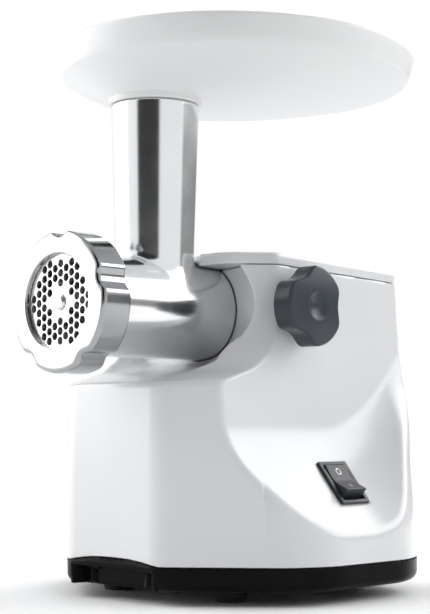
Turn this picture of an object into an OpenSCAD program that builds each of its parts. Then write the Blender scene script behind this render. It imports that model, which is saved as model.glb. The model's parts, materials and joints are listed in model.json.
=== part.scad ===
// Domestic electric meat grinder: chin-shaped motor housing, cast grinding
// head with feed tube, tray, clamp knob, rocker switch and the drive inside.
// Millimetres, +Z up. Origin: centre of the overall box, on the surface the
// feet stand on. The grinding head points along -Y, the switch is on +X.
// Y stations in the modules are counted back from the ring nut's front face;
// shift() moves them to the model's own origin.

/* [Overall] */
// Distance from the ring nut's front face to the origin plane
front_y = 135.5; // [134.5:0.5:136.5]
// Height of the grinding head's axis above the table
head_z = 172.5; // [172:0.5:173]

/* [Housing] */
// Half width of the housing at its foot
base_half = 110; // [108:0.5:111]
// Half width of the flat chin front
chin_half = 40; // [38:0.5:41]
// Rear face of the housing
rear_y = 237.5; // [236.5:0.5:239]
// Half width of the upper side panels at the lid
panel_half = 65; // [64.5:0.5:66.5]
// Wall thickness of the plastic shells
wall = 3; // [2.6:0.1:3.2]
// Height where the white shell meets the black base
base_z = 22; // [21.5:0.5:22.5]
// Height of the lid's top surface at its front edge
lid_z = 205.6; // [205:0.2:206]
// Depth of the lid band
lid_band = 7.3; // [6.8:0.1:7.6]

/* [Tray] */
// Half width of the oval rim
tray_rx = 102; // [98:1:104]
// Half length of the oval rim
tray_ry = 120.5; // [118:0.5:121]
// Height of the rim above the table
tray_z = 340; // [338:0.5:341]
// Clear radius of the feed throat
throat_r = 20.5; // [20:0.1:20.6]

/* [Grinding head] */
// Outside radius of the barrel
barrel_r = 30; // [29.6:0.1:30]
// Inside radius of the barrel
bore_r = 26.5; // [26.4:0.1:26.8]
// Radius of the neck that enters the housing
neck_r = 24; // [23.9:0.1:24]
// Radius of the cutting plate
plate_r = 31; // [30.9:0.1:31]
// Thickness of the cutting plate
plate_t = 4.8; // [4.6:0.1:4.8]
// Radius of the holes in the cutting plate
plate_hole_r = 2.25; // [1.5:0.25:2.5]
// Spacing of the holes in the cutting plate
plate_pitch = 5.57; // [5.5:0.01:5.7]
// Radius over the lobes of the ring nut
nut_r = 41; // [40.5:0.5:42]
// Length of the ring nut
nut_l = 21; // [20.5:0.5:21]
// Number of lobes on the ring nut
nut_lobes = 5; // [4:1:8]

/* [Controls] */
// Radius over the lobes of the clamp knob
knob_r = 24; // [23:0.5:25]
// Thickness of the clamp knob
knob_t = 15.5; // [14:0.5:16]
// Angle of the rocker when off
rocker_tilt = 11; // [9:0.5:12]

/* [Gears] */
// Teeth on the motor pinion
t_motor = 10; // [10:1:10]
// Teeth on the first wheel
t_first = 54; // [54:1:54]
// Teeth on the idler pinions
t_pin = 11; // [11:1:11]
// Teeth on the second wheel
t_second = 42; // [42:1:42]
// Teeth on the output wheel
t_out = 32; // [32:1:32]

/* [Hidden] */
$fn = 48;

white = [0.93, 0.93, 0.93];
black = [0.06, 0.06, 0.07];
slate = [0.24, 0.27, 0.30];
alu = [0.80, 0.81, 0.83];
steel = [0.70, 0.71, 0.73];
brass = [0.78, 0.62, 0.30];
copper = [0.72, 0.40, 0.22];
nylon = [0.86, 0.84, 0.76];

hz = head_z;
tube_y = 77;             // axis of the feed tube
motor_z = hz - 96;       // axis of the motor
axA = [0, hz - 32.25];   // second lay shaft (X, Z)
axB = [-6.66, axA[1] - 32.45];
axC = [0, motor_z];

module shift() translate([0, -front_y, 0]) children();
// round bar along Y from y0 to y1, about the line x = x, z = z
module ybar(r, y0, y1, x = 0, z = hz)
  translate([x, y0, z]) rotate([-90, 0, 0]) cylinder(h = y1 - y0, r = r);
module ycone(r0, r1, y0, y1, x = 0, z = hz)
  translate([x, y0, z]) rotate([-90, 0, 0]) cylinder(h = y1 - y0, r1 = r0, r2 = r1);
module ybox(x0, x1, y0, y1, z0, z1)
  translate([x0, y0, z0]) cube([x1 - x0, y1 - y0, z1 - z0]);
module ytube(ro, ri, y0, y1, x = 0, z = hz)
  difference() { ybar(ro, y0, y1, x, z); ybar(ri, y0 - 1, y1 + 1, x, z); }

// ---------- housing form ----------
function cl(v, a, b) = min(max(v, a), b);
function smin(a, b, k) = let(h = max(k - abs(a - b), 0) / k) min(a, b) - h * h * k / 4;
function smax(a, b, k) = let(h = max(k - abs(a - b), 0) / k) max(a, b) + h * h * k / 4;
// how far the front is set back at height z: flat chin, rounded brow,
// ledge rising at 17 degrees, then a quarter round up to the column
step = 53.5;
brow_z = 127;
ledge = tan(17);
quarter = 44;
qz = brow_z + ledge * (step - quarter) + quarter / cos(17);
function setback(z) =
  z < brow_z - 3.7 ? 0 :
  z < brow_z + 1.08 ? 5 - sqrt(max(25 - pow(z - brow_z + 3.7, 2), 0)) :
  z < qz - quarter * cos(17) ? (z - brow_z) / ledge :
  z < qz ? step - quarter + sqrt(quarter * quarter - pow(qz - z, 2)) : step;
chin_y = 42.5;
draft = tan(2.4);
function outer_x(z) = base_half - draft * (z - base_z);
function cham_x(y, z) = chin_half + (y - chin_y - setback(z)) * 1.2;
corner = 65;
function plan_x(y, z) = let(xo = outer_x(z), yc = chin_y + 89.1)
  y < yc - 50 ? chin_half + (y - chin_y) * 1.2 :
  y < yc ? xo - corner + sqrt(max(corner * corner - pow(yc - y, 2), 0)) : xo;
function panel_x(z) = panel_half + (205 - z) * 0.033;
// inclined switch panel, closing again towards the rear
function scoop_x(y, z) = 73.6 + 0.825 * (82.5 - z) + 8 * pow(max(y - 150, 0) / 37, 2);
function side_x(y, z) = smax(panel_x(z), scoop_x(y, z), 14);
function wall_x(y, z) =
  smin(smin(cham_x(y, z), plan_x(y, z), 3), side_x(y, z), 3);
function back_y(z) = rear_y - 0.027 * (z - base_z);
// rear corner: wide radius at the foot, nearly sharp at the lid
function soft(v) = let(u = cl(v, 0, 1)) u * u * (3 - 2 * u);
function rise(z) = soft((z - 40) / 90);
function back_r(z) = 69 - 64 * rise(z);
function back_x(z) = outer_x(z) + (panel_x(z) - outer_x(z)) * rise(z)
  + 4.5 * exp(-pow((z - 108) / 28, 2));
// half outline of the section at height z, pulled in by t
ns = 14;
na = 5;
function half_ring(z, t) = let(
    zz = z + (z > brow_z - 8 ? t : 0),
    yf = chin_y + setback(zz) + t,
    yr = back_y(z) - t, rr = max(back_r(z) - t, 1.5),
    x0 = chin_half - 0.4 * t,
    yt = yr - rr, bx = back_x(z) - t)
  concat(
    [for (x = [0, 0.5, 0.94]) [x0 * x, yf - 0.4 * (1 - x * x)]],
    [for (i = [1 : ns]) let(u = i / ns, y = yf + (yt - yf) * (0.35 * u + 0.65 * u * u))
      [min(wall_x(y, zz) - t, bx + 0.5 * (yt - y)), y]],
    [for (i = [1 : na]) let(a = i * 90 / (na + 1), y = yt + rr * sin(a))
      [min(wall_x(y, zz) - t, bx - rr + rr * cos(a)), y]],
    [[bx - rr, yr], [(bx - rr) / 2, yr + 0.3], [0, yr + 0.4]]);
function ring(z, t) = let(h = half_ring(z, t), n = len(h))
  concat([for (p = h) [p[0], p[1], z]],
         [for (i = [n - 2 : -1 : 1]) [-h[i][0], h[i][1], z]]);
module form(levels, t) {
  n = len(ring(levels[0], t));
  m = len(levels);
  pts = [for (z = levels) each ring(z, t)];
  polyhedron(points = pts, faces = concat(
    [[for (i = [0 : n - 1]) i]],
    [for (k = [0 : m - 2], i = [0 : n - 1]) let(j = (i + 1) % n)
      each [[k * n + i, (k + 1) * n + i, (k + 1) * n + j],
            [k * n + i, (k + 1) * n + j, k * n + j]]],
    [[for (i = [n - 1 : -1 : 0]) (m - 1) * n + i]]), convexity = 6);
}
levels = [base_z, 34, 42, 50, 58, 66, 75, 84, 93, 102, 112,
  brow_z - 3.7, brow_z - 1, brow_z + 1, 130, 134, 139, 146, 155, 165,
  qz, 216];
// space under the sloping line through the lid, dz above or below it
lid_slope = atan(0.0339);
module under(dz) translate([-150, 114, lid_z + dz])
  rotate([-lid_slope, 0, 0]) translate([0, -120, -300]) cube([300, 300, 300]);

// bayonet mouth: funnel round the barrel
fun_y0 = 98;
fun_y1 = 119;
// switch panel: centre of the switch, outward axis, local X down the slope
sw_y = 150;
sw_c = [86, sw_y, 67.5];
sw_a = 50.47;
module on_panel() translate(sw_c) rotate([0, sw_a, 0]) children();
boss_xy = [[70, 96], [-70, 96], [62, 208], [-62, 208]];

// channel for the barrel: its floor runs back from the ledge, its sides open
// from 40 mm at the front to 46.5 mm, and its end closes in a funnel
chan_r = 46.5;
module chan_above(dz) rotate([90, 0, 90]) translate([0, 0, -60]) linear_extrude(120)
  polygon([[30, 124.5 + dz], [60, 132.8 + dz], [fun_y1 + 4, 141.9 + dz], [fun_y1 + 4, 260], [30, 260]]);
module recess() {
  intersection() {
    union() {
      ycone(chan_r, 31, fun_y0, fun_y1);
      ybar(chan_r, 38, fun_y0 + 0.1);
      translate([0, 0, 105]) linear_extrude(hz - 105) polygon([[-40, 30], [40, 30], [40, 72],
        [chan_r, 88], [chan_r, fun_y0], [31, fun_y1], [-31, fun_y1], [-chan_r, fun_y0],
        [-chan_r, 88], [-40, 72]]);
    }
    chan_above(0);
  }
  ybar(30.6, 38, fun_y1);
}

module housing() color(white) shift() difference() {
  union() {
    difference() {
      intersection() { form(levels, 0); under(-lid_band); }
      form([base_z - 1, 40, 54, 66, 78, 90, 104, brow_z - 9, brow_z - 4,
        brow_z - 1, 130, 136, 146, 158, qz, 216], wall);
    }
    // wall of the round recess, and of the cradle under the barrel
    intersection() {
      form(levels, 1);
      union() {
        ybar(50.5, 44, fun_y1 + 2.6);
        ybox(-50, 50, 44, fun_y1 + 2.6, 105, hz);
      }
      chan_above(-3);
      under(-lid_band - 0.2);
    }
    // bosses for the base screws, with a rib to the side wall
    for (p = boss_xy) translate([p[0], p[1], 12]) cylinder(h = 26, r = 5);
    intersection() {
      form(levels, wall - 1);
      for (p = boss_xy) ybox(p[0] > 0 ? p[0] : -120, p[0] > 0 ? 120 : p[0], p[1] - 1.5, p[1] + 1.5, base_z + 1, 38);
    }
    // boss for the clamp screw's brass bush
    translate([60, lock_y, hz]) rotate([0, 90, 0]) cylinder(h = 5.4, r = 11);
  }
  // round recess, cradle and outlet opening
  recess();
  ybar(30.6, fun_y1 - 1, fun_y1 + 4);
  for (p = boss_xy) translate([p[0], p[1], 10]) cylinder(h = 22, r = 1.7);
  translate([50, lock_y, hz]) rotate([0, 90, 0]) cylinder(h = 30, r = 8);
  xbar(5.6, 20, 58);
  // switch window
  on_panel() translate([-13.9, -10.9, -20]) cube([27.8, 21.8, 40]);
  on_panel() translate([-15.8, -13.25, 0]) cube([31.6, 26.5, 6]);
  // arch over the front of the base
  translate([0, 30, base_z - 1]) rotate([-90, 0, 0])
    linear_extrude(30) polygon([[-38, 2], [38, 2], [30, -2.6], [18, -4.2], [0, -4.6],
      [-18, -4.2], [-30, -2.6]]);
  // cord opening in the back
  ybar(9.2, rear_y - 10, rear_y + 5, -45, 42);
  // vent slots in the back
  for (i = [-4 : 4]) ybox(i * 9 - 1.6, i * 9 + 1.6, rear_y - 12, rear_y + 4, 70, 104);
}

module top_cover() color(white) shift() difference() {
  intersection() {
    form(levels, 0);
    difference() { under(0); under(-lid_band + 0.0); }
  }
  intersection() {
    form([180, 216], wall);
    under(-wall);
    translate([-100, fun_y1 + 2.6, 150]) cube([200, 200, 100]);
  }
  recess();
  ybar(30.7, fun_y1 - 1, 140);
}

module base_pan() color(black) shift() difference() {
  union() {
    difference() {
      form_base();
      form_base_in();
    }
    // lip that fills the arch in the front of the housing
    translate([0, 43.2, base_z - 1]) rotate([-90, 0, 0]) linear_extrude(4.5)
      polygon([[-37, 2], [37, 2], [29.4, -2.2], [17.7, -3.8], [0, -4.2], [-17.7, -3.8], [-29.4, -2.2]]);
    for (p = boss_xy) translate([p[0], p[1], 8.2]) cylinder(h = 3.7, r = 7);
    // posts under the motor and gearbox
    for (x = [-24, 24]) {
      translate([x, 54, 9]) cylinder(h = 8, r = 5);
      translate([x, 150, 9]) cylinder(h = 8, r = 5);
    }
  }
  for (p = boss_xy) translate([p[0], p[1], 0]) {
    cylinder(h = 20, r = 2.1);
    cylinder(h = 10, r = 4);
  }
  for (p = foot_xy) translate([p[0], p[1], 0]) cylinder(h = 20, r = 3);
  // recess under the chin
  translate([0, 30, 0]) linear_extrude(base_z - 3) polygon([[-39, 0], [39, 0], [31, 21], [-31, 21]]);
  // air inlet slots
  for (i = [-3 : 3]) translate([i * 9 - 1.5, 92, 0]) cube([3, 24, 20]);
}
// outline of the base: the foot of the housing with a rounded lower edge
module form_base() {
  zs = [8, 9, 11, 14, base_z];
  ins = [6.2, 3.8, 1.8, 0.5, 0.2];
  n = len(ring(base_z, 0));
  pts = [for (k = [0 : len(zs) - 1]) each [for (p = ring(base_z, ins[k])) [p[0], p[1], zs[k]]]];
  polyhedron(points = pts, faces = concat(
    [[for (i = [0 : n - 1]) i]],
    [for (k = [0 : len(zs) - 2], i = [0 : n - 1]) let(j = (i + 1) % n)
      each [[k * n + i, (k + 1) * n + i, (k + 1) * n + j],
            [k * n + i, (k + 1) * n + j, k * n + j]]],
    [[for (i = [n - 1 : -1 : 0]) (len(zs) - 1) * n + i]]), convexity = 4);
}
module form_base_in() {
  n = len(ring(base_z, 0));
  pts = concat([for (p = ring(base_z, 8)) [p[0], p[1], 11]],
    [for (p = ring(base_z, 3.6)) [p[0], p[1], base_z + 1]]);
  polyhedron(points = pts, faces = concat(
    [[for (i = [0 : n - 1]) i]],
    [for (i = [0 : n - 1]) let(j = (i + 1) % n)
      each [[i, n + i, n + j], [i, n + j, j]]],
    [[for (i = [n - 1 : -1 : 0]) n + i]]), convexity = 4);
}

foot_xy = [[48, 93], [-48, 93], [48, 196], [-48, 196]];
module feet() color([0.05, 0.05, 0.05]) shift()
  for (p = foot_xy) translate([p[0], p[1], 0]) union() {
    cylinder(h = 2.5, r1 = 9.2, r2 = 10);
    translate([0, 0, 2.5]) cylinder(h = 5.4, r1 = 10, r2 = 12.5);
    cylinder(h = 11.5, r = 2.9);
    translate([0, 0, 11.1]) cylinder(h = 2, r1 = 4, r2 = 3);
  }

module base_screws() color(steel) shift()
  for (p = boss_xy) translate([p[0], p[1], 0]) difference() {
    union() {
      translate([0, 0, 7]) cylinder(h = 2.9, r = 3.6);
      translate([0, 0, 9]) cylinder(h = 19, r = 1.65);
    }
    for (a = [0, 90]) rotate([0, 0, a]) translate([-2.2, -0.5, 6]) cube([4.4, 1, 2.4]);
  }

// ---------- grinding head ----------
tube_in = 21;
module grinder_head() color(alu) shift() difference() {
  union() {
    ycone(34.6, 35.5, 6.5, 7.4);
    ybar(35.5, 7.4, 19.6);
    ycone(35.5, barrel_r, 19.6, 22.5);
    ybar(barrel_r, 22, 118.6);
    ybar(neck_r, 118, 133.5);
    // feed tube
    translate([0, tube_y, hz]) cylinder(h = 28.5, r = 24);
    translate([0, tube_y, hz + 28.5]) cylinder(h = 96, r1 = 24, r2 = 27);
    // saddle pad round the foot of the tube
    intersection() {
      translate([0, tube_y, hz]) cylinder(h = 60, r = 27.6);
      ybar(barrel_r + 1.8, tube_y - 32, tube_y + 32);
    }
  }
  ybar(plate_r + 0.3, 5, 8.4);
  ybar(bore_r, 8, 112);
  ybar(14, 111, 119.3);
  ybar(16, 119.2, 134);
  translate([0, tube_y, hz]) cylinder(h = 22, r = tube_in);
  translate([0, tube_y, hz + 22 - 0.01]) cylinder(h = 102.6, r1 = tube_in, r2 = 24.6);
  // hole for the plate key
  translate([0, 12, hz + 31.7]) rotate([90, 0, 0]) cylinder(h = 8, r = 1.5);
}

module head_bush() color(brass) shift() difference() {
  union() { ybar(14, 112, 119.2); ybar(15.6, 119.2, 120.4); }
  ybar(10.95, 111, 122);
}

module plate_key() color(steel) shift()
  translate([0, 11.9, hz + 31.7]) rotate([90, 0, 0]) cylinder(h = 5.3, r = 1.45);

module ring_nut() color(alu) shift() difference() {
  union() {
    ycone(nut_r - 3, nut_r, 0, 2.5);
    ybar(nut_r, 2.5, nut_l - 1.5);
    ycone(nut_r, nut_r - 1.5, nut_l - 1.5, nut_l);
  }
  ybar(27.5, -1, 4);
  ybar(plate_r + 0.5, 3, 8);
  ybar(35.85, 6.2, nut_l + 1);
  for (i = [0 : nut_lobes - 1]) rotate_nut(17 + i * 360 / nut_lobes)
    ybar(7.5, -1, nut_l + 1, nut_r + 4.2, hz);
}
module rotate_nut(a) translate([0, 0, hz]) rotate([0, -a, 0]) translate([0, 0, -hz]) children();

module cutting_plate() color(steel) shift() difference() {
  ybar(plate_r, 8.2 - plate_t, 8.2);
  ybar(4.5, 2, 9);
  translate([0, 9, hz + 31.7]) rotate([90, 0, 0]) cylinder(h = 8, r = 1.9);
  for (i = [-5 : 5], j = [-5 : 5])
    let(x = i * plate_pitch * cos(30), z = (j + (abs(i) % 2) / 2) * plate_pitch, r = norm([x, z]))
      if (r > 10.5 && r < 24.8) ybar(plate_hole_r, 2, 9, x, hz + z);
}

module knife() color(steel) shift() difference() {
  union() {
    ybar(9, 8.5, 13.5);
    for (a = [0 : 90 : 270]) rotate_nut(a) intersection() {
      ybox(0, 30, 8.5, 12.7, hz - 3.2, hz + 3.6);
      ybar(25.4, 8, 14);
    }
  }
  ybox(-5, 5, 8, 14, hz - 5, hz + 5);
}

module auger() color(alu) shift() difference() {
  union() {
    ybox(-4.9, 4.9, 8.6, 14, hz - 4.9, hz + 4.9);
    ybar(9.5, 13.6, 111);
    ycone(9.5, 14, 90, 111);
    intersection() {
      translate([0, 14, hz]) rotate([-90, 0, 0])
        linear_extrude(height = 97, twist = -1080, slices = 72, segments = 8)
          translate([0, -2.6]) square([25.8, 5.2]);
      ybar(25.8, 13.6, 111);
    }
  }
  ybar(3, 8, 26);
  ybar(5, 98, 112);
}

module plate_pin() color(steel) shift() union() {
  ybar(4.44, 2.2, 8.45);
  ycone(3.3, 4.44, 1.2, 2.2);
  ybar(3, 8.4, 25.9);
}

function hexr(af) = af / 2 / cos(30);
module yhex(af, y0, y1) translate([0, y0, hz]) rotate([-90, 0, 0])
  linear_extrude(y1 - y0) polygon([for (i = [0 : 5]) hexr(af) * [cos(i * 60), sin(i * 60)]]);

module auger_shank() color(steel) shift() union() {
  ybar(5, 98.2, 111.5);
  ybar(10.9, 111.4, 119.8);
  yhex(13.4, 119.8, 133);
}

// ---------- tray ----------
tn = 60;
tray_cy = 150.7;
// point of the dish: s from the throat (0) to the foot of the rim (1)
function dish(s, a, ri, rx, ry, z0, z1) = let(
    p = 1.4 + 0.35 * sin(a),
    cx = ri + (rx - ri) * s, cy = ri + (ry - ri) * s,
    yc = tube_y + (148.4 - tube_y) * s)
  [cx * cos(a), yc + cy * sin(a), z0 + (z1 - z0) * pow(s, p)];
function oval(rx, ry, yc, z, a) = [rx * cos(a), yc + ry * sin(a), z];
module tray() color(white) shift() {
  outer = [for (s = [0, 0.12, 0.26, 0.42, 0.6, 0.78, 0.9, 1])
    [for (i = [0 : tn - 1]) dish(s, i * 360 / tn, 29, tray_rx - 2.6, tray_ry - 4.4, 301, 323)]];
  rim = [for (q = [[2, 4.2, 148.4, 324.4], [1, 2.0, 149.4, 331.5], [0, 0, tray_cy, tray_z - 1.2],
      [0.6, 0.6, tray_cy, tray_z], [2.2, 2.2, tray_cy, tray_z], [2.8, 2.8, tray_cy, tray_z - 1.2]])
    [for (i = [0 : tn - 1]) oval(tray_rx - q[0], tray_ry - q[1], q[2], q[3], i * 360 / tn)]];
  inner = [for (s = [1, 0.9, 0.78, 0.6, 0.42, 0.26, 0.12, 0])
    [for (i = [0 : tn - 1]) dish(s, i * 360 / tn, 24, tray_rx - 5.8, tray_ry - 7.6, 304, 326)]];
  rings = concat(outer, rim, inner);
  m = len(rings);
  difference() {
    union() {
      polyhedron(points = [for (r = rings) each r], faces = concat(
        [[for (i = [0 : tn - 1]) i]],
        [for (k = [0 : m - 2], i = [0 : tn - 1]) let(j = (i + 1) % tn)
          each [[k * tn + i, (k + 1) * tn + i, (k + 1) * tn + j],
                [k * tn + i, (k + 1) * tn + j, k * tn + j]]],
        [[for (i = [tn - 1 : -1 : 0]) (m - 1) * tn + i]]), convexity = 6);
      // collar that rests on the tube and spout that drops into it
      translate([0, tube_y, 297.3]) cylinder(h = 5, r = 28.6);
      translate([0, tube_y, 262]) cylinder(h = 40, r1 = 22.9, r2 = 24.15);
    }
    translate([0, tube_y, 250]) cylinder(h = 80, r = throat_r);
    translate([0, tube_y, 301]) cylinder(h = 3.6, r1 = throat_r, r2 = 24);
  }
}

// ---------- clamp knob ----------
kx = 74.2;
lock_y = 126;
module xbar(r, x0, x1, y = lock_y, z = hz)
  translate([x0, y, z]) rotate([0, 90, 0]) cylinder(h = x1 - x0, r = r);
module lock_knob() color(slate) shift() difference() {
  union() {
    intersection() {
      xbar(knob_r, kx, kx + knob_t);
      union() {
        translate([kx - 4, lock_y, hz]) rotate([0, 90, 0]) cylinder(h = knob_t + 4, r1 = knob_r + 8, r2 = knob_r - 1.5);
      }
    }
    xbar(9, kx - 2, kx + 1);
  }
  for (a = [0, 120, 240]) translate([0, lock_y + 33 * cos(a), hz + 33 * sin(a)])
    rotate([0, 90, 0]) translate([0, 0, kx - 1]) cylinder(h = knob_t + 2, r = 13.5);
  translate([kx + knob_t + 12.2, lock_y, hz]) sphere(r = 15.2);
  xbar(4, kx - 3, kx + 9);
}
module lock_screw() color(steel) shift() union() {
  xbar(4, 30.8, kx + 8.8);
  xbar(2.6, 28, 31);
}
module lock_pad() color(nylon) shift() difference() {
  xbar(5.2, neck_r + 0.5, 30.6);
  xbar(2.65, 27.8, 31);
  // cylindrical seat that bears on the neck
  ybar(neck_r + 0.3, 110, 140);
}
module lock_bushing() color(brass) shift() difference() {
  union() { xbar(8, 58.5, 66.8); xbar(10.5, 56.5, 59.9); }
  xbar(4.05, 50, 70);
}

module outlet_collar() color(alu) shift() difference() {
  union() {
    ybar(30, 119.6, 136);
    intersection() { ybar(38, 133.6, 136); ybox(-40, 40, 130, 140, hz - 40, hz + 26); }
  }
  ybar(neck_r + 0.3, 118, 134.2);
  ybar(15, 134, 137);
  xbar(5.5, 20, 40);
}

// ---------- gears ----------
pa = 25;
function inv(a) = tan(a) * 180 / PI - a;
function tooth(m, z) = let(rp = m * z / 2, rb = rp * cos(pa), ra = rp + 0.8 * m, rf = rp - 1.05 * m,
    r0 = max(rb + 0.001, rf), hp = 90 / z - 0.12 / rp * 180 / PI)
  [for (k = [0 : 3]) let(r = r0 + (ra - r0) * k / 3, al = acos(rb / r))
    [r, hp + inv(pa) - inv(al)]];
function gear_pts(m, z, off) = let(t = tooth(m, z), rf = m * z / 2 - 1.05 * m)
  [for (i = [0 : z - 1]) let(c = off + i * 360 / z) each concat(
    [rf * [cos(c - t[0][1] - 20 / z), sin(c - t[0][1] - 20 / z)]],
    [for (q = t) q[0] * [cos(c - q[1]), sin(c - q[1])]],
    [for (k = [3 : -1 : 0]) t[k][0] * [cos(c + t[k][1]), sin(c + t[k][1])]],
    [rf * [cos(c + t[0][1] + 20 / z), sin(c + t[0][1] + 20 / z)]])];
// spur gear from y0 to y1 about the axis p; a tooth points to angle off
module gear(m, z, off, p, y0, y1) translate([p[0], y1, p[1]]) rotate([90, 0, 0])
  linear_extrude(y1 - y0) polygon(gear_pts(m, z, off));
function dir(p, q) = atan2(q[1] - p[1], q[0] - p[0]);
axO = [0, hz];

module drive_socket() color(steel) shift() difference() {
  union() {
    ybar(14, 121, 139.8);
    ybar(8, 139.7, 152);
    ybar(3.8, 151.9, 172.4);
  }
  yhex(14, 120, 134.2);
}
module output_gear() color(steel) shift() difference() {
  gear(1.5, t_out, dir(axO, axA), axO, 141.2, 151);
  ybar(8, 140, 152);
}
module output_bearings() color(brass) shift() {
  ytube(17, 14.05, 136, 139.6);
  ytube(7, 3.85, 170, 173);
}
module second_gear() color(steel) shift() difference() {
  gear(1.25, t_second, dir(axA, axB), axA, 153.2, 159.6);
  ybar(4, 152, 162, axA[0], axA[1]);
}
module second_shaft() color(steel) shift() {
  gear(1.5, t_pin, dir(axA, axO) + 180 / t_pin, axA, 141, 153.2);
  ybar(4, 136.2, 141, axA[0], axA[1]);
  ybar(4, 153.2, 172.4, axA[0], axA[1]);
}
module first_gear() color(nylon) shift() difference() {
  union() {
    gear(1, t_first, dir(axB, axC), axB, 162.2, 167.6);
    ybar(8, 161, 168.4, axB[0], axB[1]);
  }
  ybar(3.5, 160, 170, axB[0], axB[1]);
}
module first_shaft() color(steel) shift() {
  gear(1.25, t_pin, dir(axB, axA) + 180 / t_pin, axB, 152.8, 160.6);
  ybar(3.5, 136.2, 152.8, axB[0], axB[1]);
  ybar(3.5, 160.6, 172.4, axB[0], axB[1]);
}
module idler_bushes() color(brass) shift() {
  for (y = [136, 170]) {
    ytube(7, 4.05, y, y + 3, axA[0], axA[1]);
    ytube(6.5, 3.55, y, y + 3, axB[0], axB[1]);
  }
}
case_pts = [[-28, hz + 27.2], [28, hz + 27.2], [33, hz + 19], [33, motor_z + 8], [24, motor_z - 14],
  [-24, motor_z - 14], [-39, motor_z + 8], [-39, hz - 40], [-33, hz - 20], [-33, hz + 19]];
case_in = [[-26, hz + 25.7], [26, hz + 25.7], [30.4, hz + 18], [30.4, motor_z + 9], [22, motor_z - 11.5],
  [-22, motor_z - 11.5], [-36.4, motor_z + 9], [-36.4, hz - 41], [-30.4, hz - 20], [-30.4, hz + 18]];
module yplate(pts, y0, y1) translate([0, y1, 0]) rotate([90, 0, 0]) linear_extrude(y1 - y0) polygon(pts);
module lugs(r, y0, y1) for (p = [[36.5, hz + 8], [-36.5, hz + 8], [36.5, hz - 62], [-42.5, hz - 62]])
  ybar(r, y0, y1, p[0], p[1]);
module gearbox_case() color([0.62, 0.63, 0.65]) shift() difference() {
  union() {
    difference() { yplate(case_pts, 136, 170); yplate(case_in, 139, 171); }
    lugs(5, 136, 170);
    // legs down to the base
    for (x = [-24, 24]) ybox(x - 5, x + 5, 144, 156, 17, motor_z - 10);
    for (x = [-24, 24]) ybox(x - 5, x + 5, 139, 170, motor_z - 16, motor_z - 12);
  }
  ybar(17, 135, 141);
  ybar(7, 135, 141, axA[0], axA[1]);
  ybar(6.5, 135, 141, axB[0], axB[1]);
  ybar(11, 135, 141, 0, motor_z);
  lugs(1.6, 150, 171);
}
module gearbox_cover() color([0.62, 0.63, 0.65]) shift() difference() {
  union() { yplate(case_pts, 170, 173); lugs(5, 170, 173); }
  ybar(7, 169, 175);
  ybar(7, 169, 175, axA[0], axA[1]);
  ybar(6.5, 169, 175, axB[0], axB[1]);
  lugs(1.9, 169, 175);
}
module gearbox_screws() color(steel) shift() { lugs(3.4, 173, 175.4); lugs(1.6, 155, 173.1); }

// ---------- motor ----------
module mbar(r, y0, y1) ybar(r, y0, y1, 0, motor_z);
module mtube(ro, ri, y0, y1) ytube(ro, ri, y0, y1, 0, motor_z);
module mturn(a) translate([0, 0, motor_z]) rotate([0, a, 0]) translate([0, 0, -motor_z]) children();
module motor_pinion() color(steel) shift() difference() {
  gear(1, t_motor, dir(axC, axB) + 180 / t_motor, axC, 161.6, 168.4);
  mbar(2.5, 160, 170);
}
module motor_shaft() color(steel) shift() { mbar(4, 47, 141.5); mbar(2.5, 141.4, 168.6); }
module rotor_core() color([0.35, 0.36, 0.38]) shift() difference() {
  mbar(21.5, 80, 118);
  mbar(4, 79, 119);
  for (i = [0 : 11]) mturn(i * 30) ybox(-1.3, 1.3, 79, 119, motor_z + 12, motor_z + 23);
}
module rotor_windings() color(copper) shift() difference() {
  union() {
    mtube(18, 4, 73.5, 80);
    mtube(18, 4, 118, 121.6);
    for (i = [0 : 11]) mturn(i * 30) ybox(-1.3, 1.3, 79.5, 118.5, motor_z + 12, motor_z + 20.6);
  }
  mbar(4, 70, 130);
}
module commutator() color(copper) shift() difference() {
  mbar(11, 60.5, 73.5);
  mbar(4, 60, 74);
  for (i = [0 : 11]) mturn(i * 30 + 15) ybox(-0.3, 0.3, 60, 72, motor_z + 9.6, motor_z + 12);
}
module cooling_fan() color([0.15, 0.15, 0.16]) shift() difference() {
  union() {
    mbar(8, 122, 132);
    mbar(36, 130.6, 132.2);
    for (i = [0 : 10]) mturn(i * 360 / 11) ybox(-0.8, 0.8, 123.4, 131, motor_z + 6, motor_z + 35);
  }
  mbar(4, 120, 134);
}
module stator_core() color([0.40, 0.41, 0.43]) shift() difference() {
  intersection() { mbar(42, 80, 118); ybox(-42, 42, 80, 118, motor_z - 35, motor_z + 35); }
  mbar(22.3, 79, 119);
  // winding windows left and right of the two poles
  intersection() {
    mtube(33, 20, 79, 119);
    union() { ybox(10, 34, 79, 119, motor_z - 19, motor_z + 19); ybox(-34, -10, 79, 119, motor_z - 19, motor_z + 19); }
  }
  for (x = [-36, 36]) ybar(2.2, 79, 119, x, motor_z);
}
module field_coils() color(copper) shift() for (s = [-1, 1]) {
  // one coil round the upper pole, one round the lower
  for (x = [-1, 1]) intersection() {
    mtube(32.4, 23.6, 74, 124);
    ybox(x > 0 ? 12 : -30.6, x > 0 ? 30.6 : -12, 75, 121.6, s > 0 ? motor_z + 1 : motor_z - 18, s > 0 ? motor_z + 18 : motor_z - 1);
  }
  for (y = [75, 118.2]) intersection() {
    mtube(32.4, 23.6, y, y == 75 ? y + 4.8 : y + 3.4);
    ybox(-30.6, 30.6, y - 1, y + 6, s > 0 ? motor_z + 1 : motor_z - 34, s > 0 ? motor_z + 34 : motor_z - 1);
  }
}
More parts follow.
